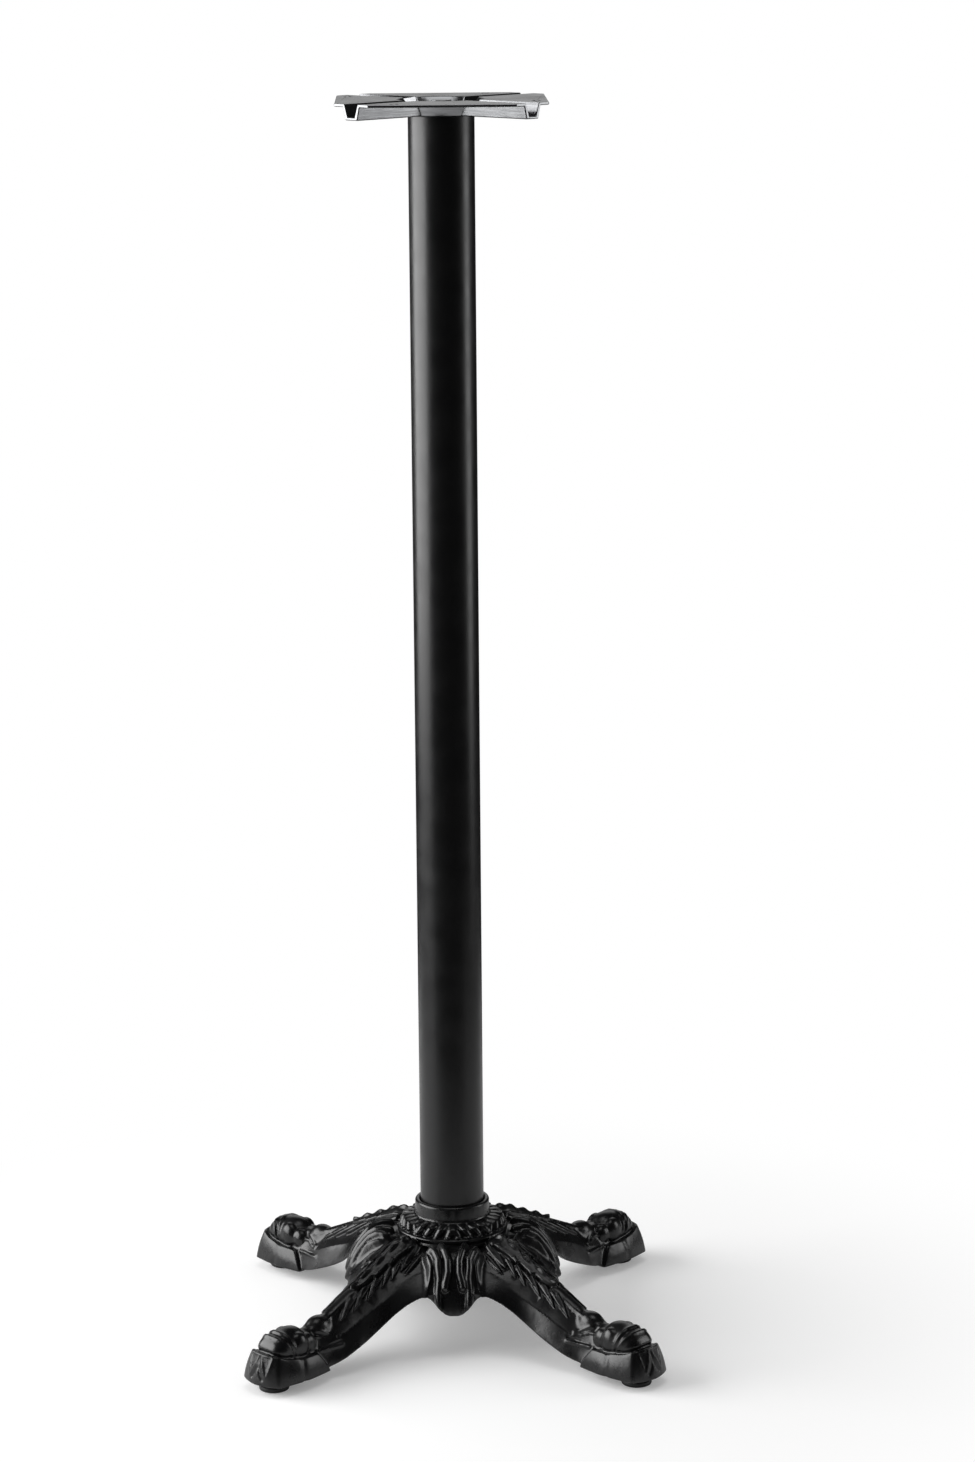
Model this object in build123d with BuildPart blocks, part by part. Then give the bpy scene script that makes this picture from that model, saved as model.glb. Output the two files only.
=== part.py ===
from build123d import *
import os
from math import cos, pi, radians, sin, sqrt, tan

os.makedirs("parts", exist_ok=True)

# Bar-height table base: ornate four-legged iron casting on levelling feet,
# steel tube column and pressed steel top plate, held together by one tie rod.
# Millimetres, floor at z = 0, column on the Z axis, legs on the diagonals.

# Whole base
overall_height = 1100.0
glide_square = 315.5  # side of the square through the four levelling feet
casting_height = 119.0  # top of the collar that the column stands in

# Column tube and its socket
column_od = 57.0
column_wall = 2.5
socket_depth = 23.0
socket_clearance = 0.25
web_thickness = 9.5  # floor of the socket, clamped by the tie rod

# Top plate
plate_side = 180.0
plate_corner = 28.4  # cut off each side at a corner
plate_gauge = 2.5
plate_depth = 13.4
trough_floor = 14.0  # outer width along the bottom
trough_mouth = 21.0  # outer width at the flange
dish_overhang = 2.5  # dish floor past the column
dish_flare = 10.0  # dish mouth past its floor
screw_hole = 8.0
screw_edge = 10.0  # hole centre in from the plate's side
screw_end = 22.0  # hole centre from the end of that side

# Tie rod and its fasteners
rod_diameter = 10.0
rod_clearance = 0.5
nut_flats = 16.0
nut_height = 8.0
washer_side = 24.0
washer_thickness = 2.0
rod_tail = 5.0  # rod left showing below the bottom nut

# Levelling feet
pad_diameter = 26.5
pad_height = 9.0
stud_diameter = 10.0
stud_length = 26.0
stud_clearance = 0.3
pad_gap = 0.3  # pad to paw when screwed right in
thread_reserve = 4.0  # bore past the end of the stud

# Casting
wall = 5.0
collar_wall = 4.8
ring_width = 12.5
disc_lip = 3.5
petal_count = 28
petal_proud = 1.5
leaf_proud = 2.4
leaf_seat = 3.0  # depth that leaf and scallops sink into the leg
flute_depth = 2.6
drape_thickness = 5.0
disc_depth = 7.5
collar_round = 2.0

# Heights and radii that follow
glide_reach = glide_square / sqrt(2)
column_r = column_od / 2
column_top = overall_height - plate_depth
socket_r = column_r + socket_clearance
socket_floor = casting_height - socket_depth
web_under = socket_floor - web_thickness
collar_r = socket_r + collar_wall
ring_r = collar_r + ring_width
disc_r = ring_r + disc_lip
rim = pad_height + pad_gap
bore_top = pad_height + stud_length + thread_reserve
bore_r = stud_diameter / 2 + stud_clearance
rod_hole_r = rod_diameter / 2 + rod_clearance
low_end = (Align.CENTER, Align.CENTER, Align.MIN)

# A leg is drawn for a reach of 223 and a casting 119 tall, and stretches with both
reach_scale = glide_reach / 223.1
rise_scale = casting_height / 119.0
rim_drawn = rim / rise_scale

# Leg stations: reach, ridge height, crown half width, ledge height, and how far the hem
# stands out past the ledge and hangs below it
leg_stations = [
    (38, 90, 8.5, 78, 39, 12),
    (64, 95, 10, 78, 34.5, 15.5),
    (84, 86.2, 10, 70.5, 27, 14),
    (103, 77.5, 9, 58.5, 13, 13),
    (122, 69, 8, 50, 7.9, 17.5),
    (144, 59, 8, 41.5, 8.6, 19),
    (163, 50.5, 6.5, 32.5, 7.6, 17),
    (186, 45, 6, 27, 7.9, 27 - rim_drawn),
]
crown_drop = 4.5  # bevel beside the ridge
wall_run = 0.72  # side wall, out for each unit down
ledge_width = 4.0
ledge_drop = 1.2

# Hollow under a leg: roof below the ridge, then walls
core_stations = [leg_stations[i] for i in (0, 2, 3, 4, 6, 7)]
core_end = (206, 40.5, 6, 26, 7.9, 26 - rim_drawn)
core_roof = 6.5
core_crown = 3.0

# Paw block, one half: reach, half width and height along its rim, along the toe ledge,
# which climbs to the front, and along the crown that the toes lie on
paw_rim = [(178, 25), (206, 28), (226, 26), (239, 22.5), (244.5, 11)]
paw_ledge = [(190, 13, 26), (206, 17.5, 28), (224, 17.5, 33), (236, 16, 38), (241, 8, 39.5)]
paw_crown = [(196, 5, 43), (228, 5, 45)]

# Instep, broad front toe, side toes and knuckle: reach, side, height, half width and
# half height along each one
instep = [(184, 0, 36, 9, 9), (198, 0, 40, 14.5, 14.5), (212, 0, 40, 15.5, 15), (220, 0, 39, 13, 12)]
front_toe = [(217, 0, 38, 17, 12), (223, 0, 38, 18, 14), (233, 0, 38, 14.5, 11.5), (239, 0, 38.5, 8, 3)]
side_toe = [(190, 9, 34, 5.5, 6.5), (203, 10.5, 36, 8.5, 11.5), (214, 11.5, 34, 5.5, 6)]
knuckle = [(161, 0, 45, 4, 4), (171, 0, 46, 9.5, 8.5), (181, 0, 42, 5, 5)]

# Crest scallops along the ridge, and the leaf tufts hanging on the leg's sides:
# reach of the root, reach of the tip, width
scallops = [68, 85, 102, 118]
scallop_length = 18.0
tufts = [(68, 85, 16), (85, 106, 14), (104, 122, 13), (121, 138, 12), (137, 152, 10)]
tuft_tip_side = 13.0
tuft_tip_drop = 9.0

# Drape between the legs: side profile as steps out from the disc, and height
drape_profile = [(-6, 86.5), (8, 92.5), (20, 92.5), (30, 84), (42, 63), (49, 42)]
drape_half = 26.4
drape_waist = 22.0
drape_waist_z = 82.0
drape_notch_z = 57.5
drape_foot_z = 42.0
drape_top_z = 97.0

# Ribs of the drape seen from outside: side and height along each one, and width
drape_ribs = [
    ([(9, 96), (4.5, 84), (8, 62)], 4.0),
    ([(17, 96), (13.5, 50)], 4.5),
]


def both_sides(half):
    """Closed outline from one half, mirrored across the first axis."""
    return half + [(-u, v) for u, v in reversed(half)]


def leg_half(ridge, crown_w, ledge_z, hem_out, hem_drop):
    """One half of a leg's section, from hem to ridge."""
    foot_z = ledge_z + ledge_drop
    foot_w = crown_w + wall_run * (ridge - crown_drop - foot_z)
    ledge_w = foot_w + ledge_width
    return [
        (ledge_w + hem_out, ledge_z - hem_drop),
        (ledge_w, ledge_z),
        (foot_w, foot_z),
        (crown_w, ridge - crown_drop),
        (crown_w - crown_drop, ridge),
    ]


def core_half(ridge, crown_w, ledge_z, hem_out, hem_drop):
    """One half of the hollow's section, from below the hem to the roof, a wall inside the leg's."""
    hem, ledge, foot = leg_half(ridge, crown_w, ledge_z, hem_out, hem_drop)[:3]
    roof = ridge - core_roof
    return [
        (hem[0] - wall, hem[1] - wall),
        (foot[0] - wall, ledge[1]),
        (core_crown, roof),
    ]


def block(stations, half_of, first, last):
    """Corners of a leg's stretch between two stations, from one point of its section to another."""
    corners = []
    for reach, *section in stations:
        for side in (1, -1):
            for width, height in half_of(*section)[first : last + 1]:
                corners.append((reach * reach_scale, side * width, height * rise_scale))
    return corners


def ring(reach, side, height, half_width, half_height):
    """Corners of an eight-sided ring across a leg."""
    return [
        (
            reach * reach_scale,
            side + half_width * cos(radians(22.5 + 45 * turn)),
            (height + half_height * sin(radians(22.5 + 45 * turn))) * rise_scale,
        )
        for turn in range(8)
    ]


def ridge_at(reach):
    """Height of the leg's ridge, read between the stations."""
    for near, far in zip(leg_stations, leg_stations[1:]):
        if near[0] <= reach <= far[0]:
            share = (reach - near[0]) / (far[0] - near[0])
            return near[1] + share * (far[1] - near[1])


# One leg with its paw, solid, pointing along +X
with BuildPart() as leg:
    for stretch in zip(leg_stations, leg_stations[1:]):
        ConvexPolyhedron(block(stretch, leg_half, 0, 2))
        ConvexPolyhedron(block(stretch, leg_half, 2, 4))

    # Scalloped crest along the ridge
    for reach in scallops:
        far = reach + scallop_length
        start = (reach * reach_scale, ridge_at(reach) * rise_scale)
        end = (far * reach_scale, ridge_at(far) * rise_scale)
        swell = (start[1] + end[1]) / 2 + leaf_proud
        with BuildSketch(Plane.XZ):
            with BuildLine():
                Polyline(
                    (start[0], start[1] - leaf_seat),
                    start,
                    (0.7 * start[0] + 0.3 * end[0], swell + 1.0),
                    (0.3 * start[0] + 0.7 * end[0], swell - 2.0),
                    end,
                    (end[0], end[1] - leaf_seat),
                    close=True,
                )
            make_face()
        extrude(amount=3.0, both=True)

    # Leaf tufts on both sides, lying on the sloping walls
    for root, tip, width in tufts:
        for side in (1, -1):
            high = Vector(root * reach_scale, side * 7.0, (ridge_at(root) - 3.5) * rise_scale)
            low = Vector(
                tip * reach_scale, side * tuft_tip_side, (ridge_at(tip) - tuft_tip_drop) * rise_scale
            )
            fall = (low - high).normalized()
            slope = Vector(0.30, side * 0.69, 0.66)
            out = (slope - fall * slope.dot(fall)).normalized()
            span = (low - high).length
            half = width / 2
            edge = [(-2, 0.5 * half), (0.4 * span, 1.2 * half), (span + 2, 0)]
            edge += [(u, -v) for u, v in edge[:2]]
            rib = [(0, 0), (0.75 * span, 0)]
            ConvexPolyhedron(
                [high + fall * u + out.cross(fall) * v - out * leaf_seat for u, v in edge]
                + [high + fall * u + out * leaf_proud for u, v in rib]
            )

    # Paw block, flaring to its rim
    paw_half = [(u, v, rim_drawn) for u, v in paw_rim] + paw_ledge + paw_crown
    ConvexPolyhedron(
        [(u * reach_scale, side * v, w * rise_scale) for u, v, w in paw_half for side in (1, -1)]
    )

    # Instep, toes and the knuckle behind them
    for form in (instep, front_toe, side_toe, knuckle):
        sides = (1, -1) if form is side_toe else (1,)
        for side in sides:
            ConvexPolyhedron([p for u, v, *size in form for p in ring(u, side * v, *size)])

# Hollow under a leg, open below
with BuildPart() as leg_core:
    for stretch in zip(core_stations, [*core_stations[1:], core_end]):
        ConvexPolyhedron(block(stretch, core_half, 0, 1))
        ConvexPolyhedron(block(stretch, core_half, 1, 2))

# Ribs that stand on a drape, pointing along +X
drape_line = [(disc_r + u, v * rise_scale) for u, v in drape_profile]
with BuildPart() as ribs:
    with BuildSketch(Plane.XZ):
        with BuildLine():
            Polyline(*drape_line)
            offset(amount=drape_thickness, side=Side.RIGHT)
        make_face()
    extrude(amount=drape_half, both=True)
    with BuildSketch(Plane.YZ):
        for points, width in drape_ribs:
            for side in (1, -1):
                edge = [(side * u - width / 2, v * rise_scale) for u, v in points]
                with BuildLine():
                    Polyline(*edge, *[(u + width, v) for u, v in reversed(edge)], close=True)
                make_face()
    extrude(amount=2 * disc_r + 60, mode=Mode.INTERSECT)

# One drape with its ribs
with BuildPart() as drape:
    with BuildSketch(Plane.XZ):
        with BuildLine():
            Polyline(*[(u - flute_depth, v - flute_depth / 2) for u, v in drape_line])
            offset(amount=drape_thickness, side=Side.RIGHT)
        make_face()
    extrude(amount=drape_half, both=True)
    with BuildSketch(Plane.YZ):
        with BuildLine():
            half = [
                (12, drape_foot_z * rise_scale),
                (21, (drape_foot_z + 6) * rise_scale),
                (drape_half, drape_notch_z * rise_scale),
                (drape_waist, drape_waist_z * rise_scale),
                (drape_half - 1, drape_top_z * rise_scale),
            ]
            Polyline(*both_sides(half), close=True)
        make_face()
    extrude(amount=2 * disc_r + 60, mode=Mode.INTERSECT)
    add(ribs.part)

# One petal of the gadrooned ring, a wedge as wide as its share of the turn
petal_half = tan(pi / petal_count)
ring_top = casting_height - 11.5
petal_stations = [
    (collar_r - 2, ring_top - 0.5, 90),
    (ring_r - 5, ring_top - 2, 60),
    (ring_r, ring_top - 7, 15),
    (ring_r, web_under + disc_depth - 1, 0),
]
with BuildPart() as petal:
    for radius, height, tilt in petal_stations:
        lean = Vector(cos(radians(tilt)), 0, sin(radians(tilt)))
        half = radius * petal_half
        facing = Vector(0, 1, 0).cross(lean)
        with BuildSketch(Plane(origin=(radius, 0, height), x_dir=(0, 1, 0), z_dir=facing)):
            with BuildLine():
                Polyline(*both_sides([(half, -4), (half, 0), (half * 0.5, petal_proud)]), close=True)
            make_face()
    loft(ruled=True)

# Base casting: hub, drapes and legs, hollowed from below
with BuildPart() as base_casting:
    with BuildSketch(Plane.XZ):
        with BuildLine():
            Polyline(
                (0, web_under),
                (disc_r, web_under),
                (disc_r, web_under + disc_depth),
                (ring_r - 2, web_under + disc_depth),
                (ring_r - 2, ring_top - 8),
                (ring_r - 6, ring_top - 4),
                (collar_r, ring_top - 2),
                (collar_r, casting_height - collar_round),
                (collar_r - collar_round, casting_height),
                (0, casting_height),
                close=True,
            )
        make_face()
    revolve(axis=Axis.Z)
    with PolarLocations(0, petal_count):
        add(petal.part)
    with PolarLocations(0, 4):
        add(drape.part)
    with PolarLocations(0, 4, start_angle=45):
        add(leg.part)
        add(leg_core.part, mode=Mode.SUBTRACT)
    with PolarLocations(glide_reach, 4, start_angle=45):
        Cylinder(bore_r, bore_top, align=low_end, mode=Mode.SUBTRACT)
    with Locations((0, 0, socket_floor)):
        Cylinder(socket_r, socket_depth, align=low_end, mode=Mode.SUBTRACT)
    with Locations((0, 0, web_under)):
        Cylinder(rod_hole_r, web_thickness, align=low_end, mode=Mode.SUBTRACT)

# Column tube, standing in the socket
with BuildPart() as column_tube:
    with Locations((0, 0, socket_floor)):
        Cylinder(column_r, column_top - socket_floor, align=low_end)
        Cylinder(column_r - column_wall, column_top - socket_floor, align=low_end, mode=Mode.SUBTRACT)

# Top plate: flange sheet, two crossing troughs and a centre dish on the column
half_side = plate_side / 2
half_cut = half_side - plate_corner
plate_outline = [
    (half_side, -half_cut),
    (half_side, half_cut),
    (half_cut, half_side),
    (-half_cut, half_side),
    (-half_side, half_cut),
    (-half_side, -half_cut),
    (-half_cut, -half_side),
    (half_cut, -half_side),
]
dish_floor_r = column_r + dish_overhang
dish_mouth_r = dish_floor_r + dish_flare
screw_x = half_side - screw_edge
screw_y = half_cut - screw_end
with BuildPart() as top_plate:
    with BuildSketch(Plane.XY.offset(overall_height)):
        with BuildLine():
            Polyline(*plate_outline, close=True)
        make_face()
    extrude(amount=-plate_gauge)
    for turn in (45, 135):
        with BuildSketch(Plane.XZ.rotated((0, 0, turn))):
            with BuildLine():
                half = [(trough_floor / 2, column_top), (trough_mouth / 2, overall_height)]
                Polyline(*both_sides(half), close=True)
            make_face()
        extrude(amount=plate_side, both=True)
    with Locations((0, 0, column_top)):
        Cone(dish_floor_r, dish_mouth_r, plate_depth, align=low_end)
    with BuildSketch(Plane.XY.offset(column_top)):
        with BuildLine():
            Polyline(*plate_outline, close=True)
        make_face()
    extrude(amount=plate_depth, mode=Mode.INTERSECT)
    for turn in (45, 135):
        with BuildSketch(Plane.XZ.rotated((0, 0, turn))):
            with BuildLine():
                half = [
                    (trough_floor / 2 - plate_gauge, column_top + plate_gauge),
                    (trough_mouth / 2 - plate_gauge, overall_height),
                ]
                Polyline(*both_sides(half), close=True)
            make_face()
        extrude(amount=plate_side, both=True, mode=Mode.SUBTRACT)
    with Locations((0, 0, column_top + plate_gauge)):
        Cone(
            dish_floor_r - 0.4 * plate_gauge,
            dish_mouth_r - plate_gauge,
            plate_depth - plate_gauge,
            align=low_end,
            mode=Mode.SUBTRACT,
        )
    with Locations((0, 0, column_top)):
        Cylinder(rod_hole_r, plate_depth, align=low_end, mode=Mode.SUBTRACT)
        with PolarLocations(0, 4):
            with Locations((screw_x, -screw_y)):
                Cylinder(screw_hole / 2, plate_depth, align=low_end, mode=Mode.SUBTRACT)

# Tie rod with a washer and nut in the dish and under the web
dish_floor_z = column_top + plate_gauge
rod_top = dish_floor_z + washer_thickness + nut_height
rod_foot = web_under - washer_thickness - nut_height - rod_tail
with BuildPart() as tie_rod:
    with Locations((0, 0, rod_foot)):
        Cylinder(rod_diameter / 2, rod_top - rod_foot, align=low_end)

with BuildPart() as top_washer:
    with BuildSketch(Plane.XY.offset(dish_floor_z)):
        Rectangle(washer_side, washer_side)
        Circle(rod_hole_r, mode=Mode.SUBTRACT)
    extrude(amount=washer_thickness)

with BuildPart() as bottom_washer:
    with BuildSketch(Plane.XY.offset(web_under - washer_thickness)):
        Rectangle(washer_side, washer_side)
        Circle(rod_hole_r, mode=Mode.SUBTRACT)
    extrude(amount=washer_thickness)

with BuildPart() as top_nut:
    with BuildSketch(Plane.XY.offset(rod_top - nut_height)):
        RegularPolygon(nut_flats / 2, 6, major_radius=False)
        Circle(rod_diameter / 2, mode=Mode.SUBTRACT)
    extrude(amount=nut_height)

with BuildPart() as bottom_nut:
    with BuildSketch(Plane.XY.offset(rod_foot + rod_tail)):
        RegularPolygon(nut_flats / 2, 6, major_radius=False)
        Circle(rod_diameter / 2, mode=Mode.SUBTRACT)
    extrude(amount=nut_height)

base_casting.part.label = "base_casting"
column_tube.part.label = "column_tube"
top_plate.part.label = "top_plate"
tie_rod.part.label = "tie_rod"
top_washer.part.label = "top_washer"
top_nut.part.label = "top_nut"
bottom_washer.part.label = "bottom_washer"
bottom_nut.part.label = "bottom_nut"
export_step(base_casting.part, "parts/base_casting.step")
export_step(column_tube.part, "parts/column_tube.step")
export_step(top_plate.part, "parts/top_plate.step")
export_step(tie_rod.part, "parts/tie_rod.step")
export_step(top_washer.part, "parts/top_washer.step")
export_step(top_nut.part, "parts/top_nut.step")
export_step(bottom_washer.part, "parts/bottom_washer.step")
export_step(bottom_nut.part, "parts/bottom_nut.step")

# Levelling feet: a round pad on a threaded stud under each paw
foot_places = {
    "foot_front_left": (-1, -1),
    "foot_front_right": (1, -1),
    "foot_back_right": (1, 1),
    "foot_back_left": (-1, 1),
}
for foot_name, (x_side, y_side) in foot_places.items():
    with BuildPart() as foot:
        with Locations((x_side * glide_square / 2, y_side * glide_square / 2, 0)):
            Cylinder(pad_diameter / 2, pad_height, align=low_end)
            with Locations((0, 0, pad_height)):
                Cylinder(stud_diameter / 2, stud_length, align=low_end)
    foot.part.label = foot_name
    export_step(foot.part, f"parts/{foot_name}.step")
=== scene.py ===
import math

import bmesh
import bpy
import numpy as np
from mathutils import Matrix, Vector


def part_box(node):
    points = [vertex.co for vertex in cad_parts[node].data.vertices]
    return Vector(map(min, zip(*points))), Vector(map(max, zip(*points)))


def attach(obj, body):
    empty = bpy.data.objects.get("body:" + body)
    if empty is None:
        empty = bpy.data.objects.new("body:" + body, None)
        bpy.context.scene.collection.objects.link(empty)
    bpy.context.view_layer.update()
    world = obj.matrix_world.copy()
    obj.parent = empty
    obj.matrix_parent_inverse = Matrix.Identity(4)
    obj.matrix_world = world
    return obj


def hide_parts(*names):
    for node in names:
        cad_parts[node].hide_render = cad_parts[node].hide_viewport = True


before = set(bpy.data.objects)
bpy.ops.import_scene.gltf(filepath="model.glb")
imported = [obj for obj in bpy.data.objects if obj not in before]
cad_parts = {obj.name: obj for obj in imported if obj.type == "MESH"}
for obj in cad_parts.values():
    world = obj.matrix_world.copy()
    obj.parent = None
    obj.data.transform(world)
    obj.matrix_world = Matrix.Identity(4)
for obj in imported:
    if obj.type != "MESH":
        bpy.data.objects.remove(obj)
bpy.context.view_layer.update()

import openvdb
from bpy.props import FloatProperty, IntProperty, PointerProperty, StringProperty
from mathutils import Matrix, Vector

bl_info = {
    "name": "Bar table base",
    "version": (1, 0, 0),
    "blender": (4, 5, 0),
    "location": "View3D > Sidebar > Table base",
    "description": "Ornate cast base, tube column and pressed top plate of a bar-height table",
    "category": "Object",
}

MM = 0.001
CAST_LOW, CAST_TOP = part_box("base_casting")
TUBE_LOW, TUBE_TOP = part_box("column_tube")
PAD_LOW, PAD_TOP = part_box("foot_front_right")
FEET = ("foot_front_left", "foot_front_right", "foot_back_right", "foot_back_left")
GLIDE_REACH = math.hypot((PAD_LOW[0] + PAD_TOP[0]) / 2, (PAD_LOW[1] + PAD_TOP[1]) / 2)


# Sizes and colours


class CastingSettings(bpy.types.PropertyGroup):
    """Iron casting with its coat"""

    grain: FloatProperty(
        name="Grain", description="Size of the finest form kept, in millimetres", default=0.8, min=0.5
    )
    petals: IntProperty(
        name="Petals", description="Petals round the gadrooned ring", default=28, min=8
    )
    wall: FloatProperty(
        name="Wall", description="Thickness of the hollow legs, in millimetres", default=5.0
    )
    coat: StringProperty(
        name="Coat", description="Colour of the powder coat, sRGB hex", default="080809"
    )


class ColumnSettings(bpy.types.PropertyGroup):
    """Tube column"""

    edge_round: FloatProperty(
        name="Edge", description="Rounding of the cut ends, in millimetres", default=0.5
    )
    coat: StringProperty(
        name="Coat", description="Colour of the powder coat, sRGB hex", default="0A0A0B"
    )


class PlateSettings(bpy.types.PropertyGroup):
    """Pressed plate and the tie rod's fasteners"""

    bend: FloatProperty(
        name="Bend", description="Rounding of the pressed bends, in millimetres", default=0.9
    )
    steel: StringProperty(
        name="Steel", description="Colour of the bare sheet, sRGB hex", default="9E9FA1"
    )
    zinc: StringProperty(
        name="Zinc", description="Colour of the plated fasteners, sRGB hex", default="B4B6B8"
    )


class FootSettings(bpy.types.PropertyGroup):
    """Levelling feet"""

    groove: FloatProperty(
        name="Groove", description="Depth of the groove round the pad, in millimetres", default=1.3
    )
    nylon: StringProperty(
        name="Nylon", description="Colour of the moulded pads, sRGB hex", default="121213"
    )


class StageSettings(bpy.types.PropertyGroup):
    """Camera, floor and lamps"""

    lens: FloatProperty(
        name="Lens", description="Focal length on a 36 mm sensor", default=98.13, unit="CAMERA"
    )
    key_power: FloatProperty(
        name="Key", description="Power of the softbox at the left", default=76.0, unit="POWER"
    )
    fill_power: FloatProperty(
        name="Fill", description="Power of the softbox at the right", default=8.6, unit="POWER"
    )
    top_power: FloatProperty(
        name="Top", description="Power of the softbox overhead", default=9.0, unit="POWER"
    )
    floor: StringProperty(
        name="Floor", description="Colour of the floor, sRGB hex", default="EDEDED"
    )


# Materials


def linear(code):
    """Linear RGBA of an sRGB hex colour."""
    values = [int(code[i : i + 2], 16) / 255 for i in (0, 2, 4)]
    return [v / 12.92 if v <= 0.04045 else ((v + 0.055) / 1.055) ** 2.4 for v in values] + [1.0]


def node(tree, kind, links=None, **settings):
    """Adds a node, sets its properties or inputs by name, and links inputs to sockets."""
    made = tree.nodes.new(kind)
    for name, value in settings.items():
        if name in made.inputs:
            made.inputs[name].default_value = value
        else:
            setattr(made, name, value)
    for name, socket in (links or {}).items():
        tree.links.new(socket, made.inputs[name])
    return made


def blank(name):
    """New material with its node tree, its output and the object's own coordinates."""
    made = bpy.data.materials.new(name)
    made.use_nodes = True
    tree = made.node_tree
    tree.nodes.clear()
    output = tree.nodes.new("ShaderNodeOutputMaterial")
    place = node(tree, "ShaderNodeTexCoord").outputs["Object"]
    return made, tree, output, place


def powder_coat(name, colour, roughness, peel_mm, peel_depth, wave_depth):
    """Baked powder coat: a deep black skin with soft orange peel and slightly uneven gloss."""
    patch_mm = 22
    wave_mm = 7
    made, tree, output, place = blank(name)
    peel = node(tree, "ShaderNodeTexNoise", {"Vector": place}, Scale=1.0 / (peel_mm * MM), Detail=2.0)
    patch = node(tree, "ShaderNodeTexNoise", {"Vector": place}, Scale=1.0 / (patch_mm * MM), Detail=3.0)
    gloss = node(
        tree,
        "ShaderNodeMapRange",
        {"Value": patch.outputs["Fac"]},
        **{"From Min": 0.3, "From Max": 0.7, "To Min": roughness - 0.04, "To Max": roughness + 0.05},
    )
    wave = node(tree, "ShaderNodeTexNoise", {"Vector": place}, Scale=1.0 / (wave_mm * MM), Detail=2.0)
    swell = node(
        tree,
        "ShaderNodeBump",
        {"Height": wave.outputs["Fac"]},
        Strength=0.6,
        Distance=wave_depth * MM,
    )
    bump = node(
        tree,
        "ShaderNodeBump",
        {"Height": peel.outputs["Fac"], "Normal": swell.outputs["Normal"]},
        Strength=0.5,
        Distance=peel_depth * MM,
    )
    shader = node(
        tree,
        "ShaderNodeBsdfPrincipled",
        {"Roughness": gloss.outputs["Result"], "Normal": bump.outputs["Normal"]},
        **{"Base Color": linear(colour), "IOR": 1.5},
    )
    tree.links.new(shader.outputs["BSDF"], output.inputs["Surface"])
    return made


def rolled_steel(name, colour, roughness, streak_mm, across):
    """Bare rolled sheet: bright metal with fine streaks along the rolling and a patchy sheen."""
    patch_mm = 30
    streak_depth = 0.05
    dark_share = 0.3
    made, tree, output, place = blank(name)
    stretch = node(tree, "ShaderNodeMapping", {"Vector": place}, Scale=across)
    streaks = node(
        tree,
        "ShaderNodeTexNoise",
        {"Vector": stretch.outputs["Vector"]},
        Scale=1.0 / (streak_mm * MM),
        Detail=4.0,
    )
    patch = node(tree, "ShaderNodeTexNoise", {"Vector": place}, Scale=1.0 / (patch_mm * MM), Detail=2.0)
    tone = node(
        tree,
        "ShaderNodeMix",
        {"Factor": streaks.outputs["Fac"]},
        data_type="RGBA",
        A=[c * dark_share for c in linear(colour)[:3]] + [1.0],
        B=linear(colour),
    )
    gloss = node(
        tree,
        "ShaderNodeMapRange",
        {"Value": patch.outputs["Fac"]},
        **{"From Min": 0.3, "From Max": 0.7, "To Min": roughness - 0.06, "To Max": roughness + 0.08},
    )
    bump = node(
        tree,
        "ShaderNodeBump",
        {"Height": streaks.outputs["Fac"]},
        Strength=0.25,
        Distance=streak_depth * MM,
    )
    shader = node(
        tree,
        "ShaderNodeBsdfPrincipled",
        {
            "Base Color": tone.outputs[2],
            "Roughness": gloss.outputs["Result"],
            "Normal": bump.outputs["Normal"],
        },
        Metallic=1.0,
    )
    tree.links.new(shader.outputs["BSDF"], output.inputs["Surface"])
    return made


# Forms

# Largest angle between faces that still look smooth on a turned piece
SMOOTH_ANGLE = math.radians(40)


def face_outward(mesh):
    """Turns the faces of a closed mesh outward."""
    shape = bmesh.new()
    shape.from_mesh(mesh)
    bmesh.ops.recalc_face_normals(shape, faces=shape.faces)
    shape.to_mesh(mesh)
    shape.free()


def turned_mesh(name, profile, around):
    """Smooth piece turned from a closed profile of radius and height in millimetres."""
    points = []
    for i in range(around):
        angle = 2 * math.pi * i / around
        points.extend([(r * math.cos(angle) * MM, r * math.sin(angle) * MM, z * MM) for r, z in profile])
    count = len(profile)
    faces = []
    for i in range(around):
        here = i * count
        beside = (i + 1) % around * count
        for j in range(count):
            k = (j + 1) % count
            faces.append((here + j, beside + j, beside + k, here + k))
    made = bpy.data.meshes.new(name)
    made.from_pydata(points, [], faces)
    face_outward(made)
    made.shade_smooth()
    made.set_sharp_from_angle(angle=SMOOTH_ANGLE)
    return made


def put(name, mesh, material, body="stand", stands_for=()):
    """Object from a mesh, with its material, riding on a body."""
    made = bpy.data.objects.new(name, mesh)
    bpy.context.scene.collection.objects.link(made)
    made.data.materials.clear()
    made.data.materials.append(material)
    if stands_for:
        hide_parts(*stands_for)
    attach(made, body)
    return made


# Casting, all in millimetres

TRIANGLES = 190000

# Diagonal of a square with a side of 1, a length too small to see, the distance beyond which the
# field is cut off, and the step of tables that are looked up
DIAGONAL = math.sqrt(2)
TINY = 1e-6
FAR = 4.0
STEP = 0.25

# Underside and radius of the hub's web, radius of its hole for the tie rod, height of the tube's seat,
# and radius of the bores for the studs
WEB_LOW = 86.5
WEB_RADIUS = 52
ROD_HOLE = 5.5
TUBE_SEAT = 96
STUD_BORE = 5.3

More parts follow.
